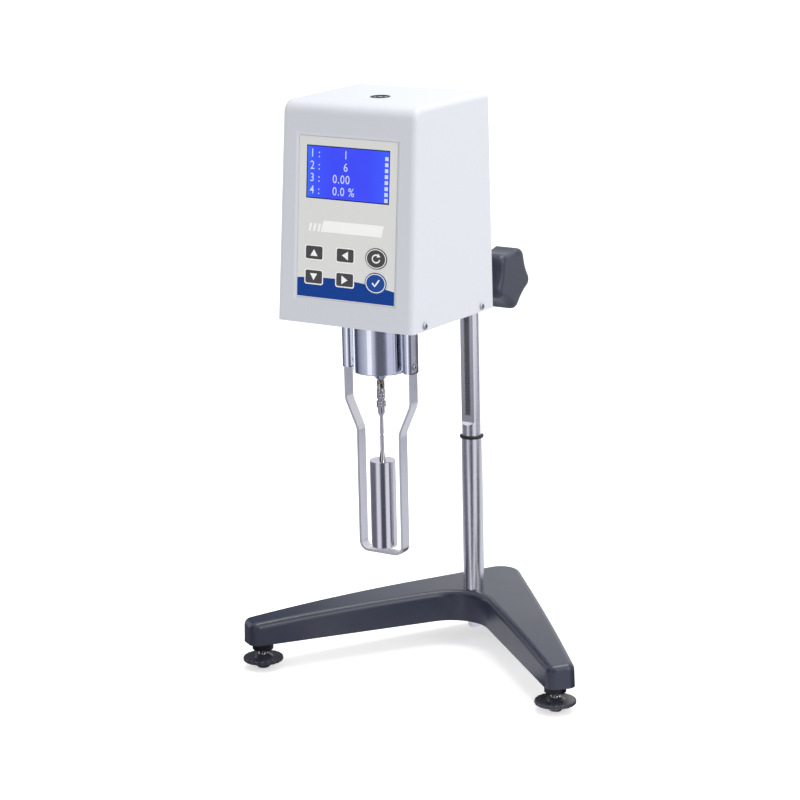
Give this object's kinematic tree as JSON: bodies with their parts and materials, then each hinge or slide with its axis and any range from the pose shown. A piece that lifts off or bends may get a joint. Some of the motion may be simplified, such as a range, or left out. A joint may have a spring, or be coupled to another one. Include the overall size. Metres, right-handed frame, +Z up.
{
  "type": "digital rotational viscometer",
  "caption": "Bench viscometer: a box-shaped measuring head with display, keys, guarded spindle and bearing cup on a toothed column with a V-shaped levelling base.",
  "frame": {"origin": "on the bench, under the middle of the whole bounding box", "axes": "+Z up, the head's keys and display face -Y, the lift knob is on the +X side"},
  "size_m": [0.2708, 0.2314, 0.4384],
  "materials": {
    "casting_paint": "hammer-smooth dark blue-grey enamel, satin",
    "black_plastic": "fine-textured black moulding",
    "pad_nylon": "hard black nylon",
    "blackened_steel": "black oxide",
    "polished_steel": "ground and polished",
    "rack_steel": "machined teeth",
    "ring_rubber": "black ring cord",
    "clamp_plate": "bright plated block",
    "knob_plastic": "dark plum-grey moulding",
    "cover_paint": "light cool grey moulding, satin",
    "screw_steel": "bright pan-head screws",
    "plate_paint": "satin anodised plate",
    "label_print": "printed polyester sheet, light grey with a blue band",
    "window_clear": "clear window over a lit blue display",
    "board_green": "circuit board laminate",
    "key_grey": "dark grey key top",
    "key_blue": "blue key top",
    "level_plastic": "white moulded cup",
    "level_fluid": "filled vial",
    "panel_paint": "light grey enamel",
    "rocker_black": "glossy black rocker",
    "cup_chrome": "mirror polished",
    "jewel": "sintered bearing ring",
    "guard_steel": "brushed stainless strip",
    "disc_aluminium": "dark anodised disc",
    "spring_bronze": "bronze strip",
    "shaft_steel": "turned stainless steel",
    "block_brass": "bright brass",
    "motor_can": "grey enamelled can"
  },
  "bodies": {
    "stand": {"base_casting": "casting_paint", "foot_bushes": "blackened_steel", "column": "polished_steel", "column_rack": "rack_steel", "column_stop_ring": "ring_rubber", "column_nut": "blackened_steel"},
    "head": {"lift_clamp": "clamp_plate", "clamp_screws": "blackened_steel", "arm_rod": "clamp_plate", "arm_nut": "clamp_plate", "head_cover": "cover_paint", "head_screws": "screw_steel", "bottom_plate": "plate_paint", "front_label": "label_print", "display_window": "window_clear", "front_board": "board_green", "level_ring": "level_plastic", "level_glass": "level_fluid", "chassis_plate": "plate_paint", "rear_panel": "panel_paint", "power_switch": "black_plastic", "power_inlet": "black_plastic", "data_port": "black_plastic", "bearing_cup": "cup_chrome", "nose_cone": "cup_chrome", "jewel_bearing": "jewel", "guard": "guard_steel", "guard_brackets": "cup_chrome", "disc_sensors": "board_green", "plate_pillars": "plate_paint", "motor_plate": "plate_paint", "motor": "motor_can", "main_board": "board_green"},
    "lift_knob": {"lift_knob": "knob_plastic", "pinion_shaft": "rack_steel", "shaft_collar": "blackened_steel"},
    "power_rocker": {"power_rocker": "rocker_black"},
    "drive": {"drive_hub": "jewel", "upper_disc": "disc_aluminium"},
    "torque_shaft": {"torque_shaft": "shaft_steel", "lower_disc": "disc_aluminium", "hairspring": "spring_bronze"},
    "joint_block": {"joint_block": "block_brass"},
    "spindle": {"coupling_sleeve": "shaft_steel", "spindle": "shaft_steel"},
    "foot_pad_left": {"foot_pad_left": "pad_nylon"},
    "foot_screw_left": {"foot_stud_left": "polished_steel", "foot_disc_left": "black_plastic"},
    "foot_pad_right": {"foot_pad_right": "pad_nylon"},
    "foot_screw_right": {"foot_stud_right": "polished_steel", "foot_disc_right": "black_plastic"},
    "foot_pad_rear": {"foot_pad_rear": "pad_nylon"},
    "foot_screw_rear": {"foot_stud_rear": "polished_steel", "foot_disc_rear": "black_plastic"},
    "key_up": {"key_up": "key_grey"},
    "key_left": {"key_left": "key_grey"},
    "key_down": {"key_down": "key_grey"},
    "key_right": {"key_right": "key_grey"},
    "key_reset": {"key_reset": "key_grey"},
    "key_ok": {"key_ok": "key_blue"}
  },
  "joints": [
    {"name": "head_lift", "type": "slide", "parent": "stand", "child": "head", "axis": [0, 0, 1], "range_m": [-0.095, 0.065]},
    {"name": "lift_knob_turn", "type": "hinge", "parent": "head", "child": "lift_knob", "pos_m": [-0.01347, 0.0397, 0.293], "axis": [1, 0, 0], "range_deg": [-625, 912]},
    {"name": "foot_left_height", "type": "slide", "parent": "stand", "child": "foot_pad_left", "axis": [0, 0, 1], "range_m": [-0.008, 0.003]},
    {"name": "foot_left_turn", "type": "hinge", "parent": "foot_pad_left", "child": "foot_screw_left", "pos_m": [-0.12022, -0.08061, 0], "axis": [0, 0, 1], "range_deg": [-2310, 870]},
    {"name": "foot_right_height", "type": "slide", "parent": "stand", "child": "foot_pad_right", "axis": [0, 0, 1], "range_m": [-0.008, 0.003]},
    {"name": "foot_right_turn", "type": "hinge", "parent": "foot_pad_right", "child": "foot_screw_right", "pos_m": [0.12022, -0.05322, 0], "axis": [0, 0, 1], "range_deg": [-2310, 870]},
    {"name": "foot_rear_height", "type": "slide", "parent": "stand", "child": "foot_pad_rear", "axis": [0, 0, 1], "range_m": [-0.008, 0.003]},
    {"name": "foot_rear_turn", "type": "hinge", "parent": "foot_pad_rear", "child": "foot_screw_rear", "pos_m": [-0.01868, 0.09703, 0], "axis": [0, 0, 1], "range_deg": [-2310, 870]},
    {"name": "power_rocker_tip", "type": "hinge", "parent": "head", "child": "power_rocker", "pos_m": [-0.03747, -0.01068, 0.3692], "axis": [1, 0, 0], "range_deg": [0, 18]},
    {"name": "key_up_press", "type": "slide", "parent": "head", "child": "key_up", "axis": [0, 0.9965, -0.0837], "range_m": [0, 0.0003], "stiffness_N_per_m": 2000, "springref_m": -0.0004},
    {"name": "key_left_press", "type": "slide", "parent": "head", "child": "key_left", "axis": [0, 0.9965, -0.0837], "range_m": [0, 0.0003], "stiffness_N_per_m": 2000, "springref_m": -0.0004},
    {"name": "key_down_press", "type": "slide", "parent": "head", "child": "key_down", "axis": [0, 0.9965, -0.0837], "range_m": [0, 0.0003], "stiffness_N_per_m": 2000, "springref_m": -0.0004},
    {"name": "key_right_press", "type": "slide", "parent": "head", "child": "key_right", "axis": [0, 0.9965, -0.0837], "range_m": [0, 0.0003], "stiffness_N_per_m": 2000, "springref_m": -0.0004},
    {"name": "key_reset_press", "type": "slide", "parent": "head", "child": "key_reset", "axis": [0, 0.9965, -0.0837], "range_m": [0, 0.0003], "stiffness_N_per_m": 2000, "springref_m": -0.0004},
    {"name": "key_ok_press", "type": "slide", "parent": "head", "child": "key_ok", "axis": [0, 0.9965, -0.0837], "range_m": [0, 0.0003], "stiffness_N_per_m": 2000, "springref_m": -0.0004},
    {"name": "drive_turn", "type": "hinge", "parent": "head", "child": "drive", "pos_m": [-0.01347, -0.07068, 0.32], "axis": [0, 0, 1], "continuous": true},
    {"name": "torque_twist", "type": "hinge", "parent": "drive", "child": "torque_shaft", "pos_m": [-0.01347, -0.07068, 0.3], "axis": [0, 0, 1], "range_deg": [0, 60], "stiffness_Nm_per_rad": 0.000045},
    {"name": "block_swing", "type": "hinge", "parent": "torque_shaft", "child": "joint_block", "pos_m": [-0.01347, -0.07068, 0.2299], "axis": [1, 0, 0], "range_deg": [-2.4, 2.4]},
    {"name": "spindle_swing", "type": "hinge", "parent": "joint_block", "child": "spindle", "pos_m": [-0.01347, -0.07068, 0.2299], "axis": [0, 1, 0], "range_deg": [-2.4, 2.4]}
  ],
  "couplings": [
    {"joint": "lift_knob_turn", "follows": "head_lift", "rad_per_m": -166.67},
    {"joint": "foot_left_turn", "follows": "foot_left_height", "rad_per_m": 5026.5},
    {"joint": "foot_right_turn", "follows": "foot_right_height", "rad_per_m": 5026.5},
    {"joint": "foot_rear_turn", "follows": "foot_rear_height", "rad_per_m": 5026.5}
  ]
}
